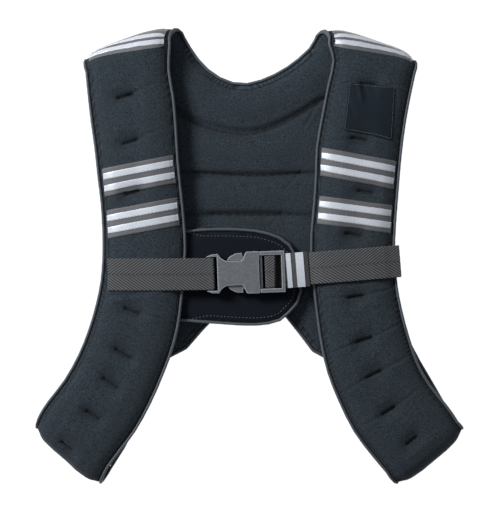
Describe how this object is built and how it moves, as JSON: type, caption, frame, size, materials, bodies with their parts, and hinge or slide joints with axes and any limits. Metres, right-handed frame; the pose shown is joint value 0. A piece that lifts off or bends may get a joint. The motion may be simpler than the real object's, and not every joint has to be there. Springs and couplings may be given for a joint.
{
  "type": "weighted vest",
  "caption": "Padded neoprene weighted vest with wide shoulder straps folded over the front, a webbing chest belt with side-release buckle and reflective stripes.",
  "frame": {"origin": "middle of the vest's outline, at the flat back that it lies on", "axes": "+X the viewer's right with the front up, +Y towards the shoulders, +Z out of the front"},
  "size_m": [0.429, 0.4592, 0.043],
  "materials": {
    "neoprene": "matt knit face of padded neoprene",
    "binding": "stretch edge tape, slight sheen",
    "ribbon": "woven ribbon",
    "reflective": "silver reflective film",
    "webbing": "herringbone webbing",
    "label": "flat woven patch, unprinted",
    "buckle": "moulded acetal, fine matt texture"
  },
  "bodies": {
    "root": {"back_panel": "neoprene", "front_strap_left": "neoprene", "front_strap_right": "neoprene", "side_wing_left": "neoprene", "side_wing_right": "neoprene", "guard_pad": "neoprene", "inner_binding": "binding", "armhole_binding_left": "binding", "armhole_binding_right": "binding", "guard_binding": "binding", "chest_tape_upper_left": "ribbon", "chest_tape_upper_left_stripe_upper": "reflective", "chest_tape_upper_left_stripe_lower": "reflective", "chest_tape_lower_left": "ribbon", "chest_tape_lower_left_stripe_upper": "reflective", "chest_tape_lower_left_stripe_lower": "reflective", "chest_tape_upper_right": "ribbon", "chest_tape_upper_right_stripe_upper": "reflective", "chest_tape_upper_right_stripe_lower": "reflective", "chest_tape_lower_right": "ribbon", "chest_tape_lower_right_stripe_upper": "reflective", "chest_tape_lower_right_stripe_lower": "reflective", "shoulder_tape_left": "ribbon", "shoulder_tape_left_stripe_upper": "reflective", "shoulder_tape_left_stripe_lower": "reflective", "shoulder_tape_right": "ribbon", "shoulder_tape_right_stripe_upper": "reflective", "shoulder_tape_right_stripe_lower": "reflective", "label_patch": "label", "webbing_left": "webbing", "webbing_right": "webbing", "keeper": "ribbon", "keeper_stripe_1": "reflective", "keeper_stripe_2": "reflective", "buckle_housing": "buckle", "buckle_plug": "buckle"}
  },
  "joints": []
}
